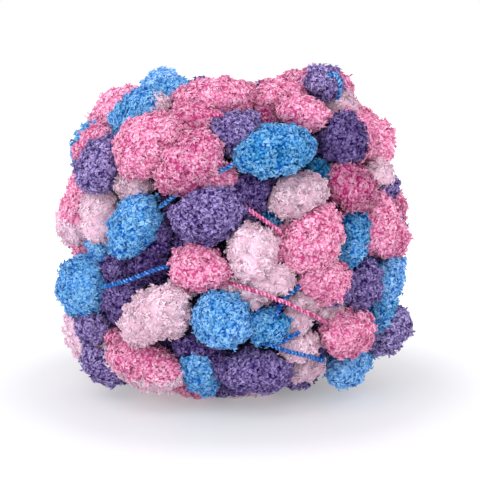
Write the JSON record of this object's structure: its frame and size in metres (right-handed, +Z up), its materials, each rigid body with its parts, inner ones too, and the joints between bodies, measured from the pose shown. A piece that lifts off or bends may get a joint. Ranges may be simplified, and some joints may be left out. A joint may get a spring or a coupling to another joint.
{
  "type": "pom pom yarn",
  "caption": "Soft ball of pom pom yarn, wound from a thin cord that carries fat short-pile pompoms, resting on a small flat foot.",
  "frame": {"origin": "on the floor under the middle of the ball's box, at the ball's flat foot", "axes": "+Z up, -Y towards the side that the picture shows, +X to the right in it; the ball is widest along X and lowest along Z"},
  "size_m": [0.1514, 0.1462, 0.1376],
  "materials": {
    "pompom_pile": "soft short pile, dull"
  },
  "bodies": {
    "root": {"yarn_ball": "pompom_pile"}
  },
  "joints": []
}
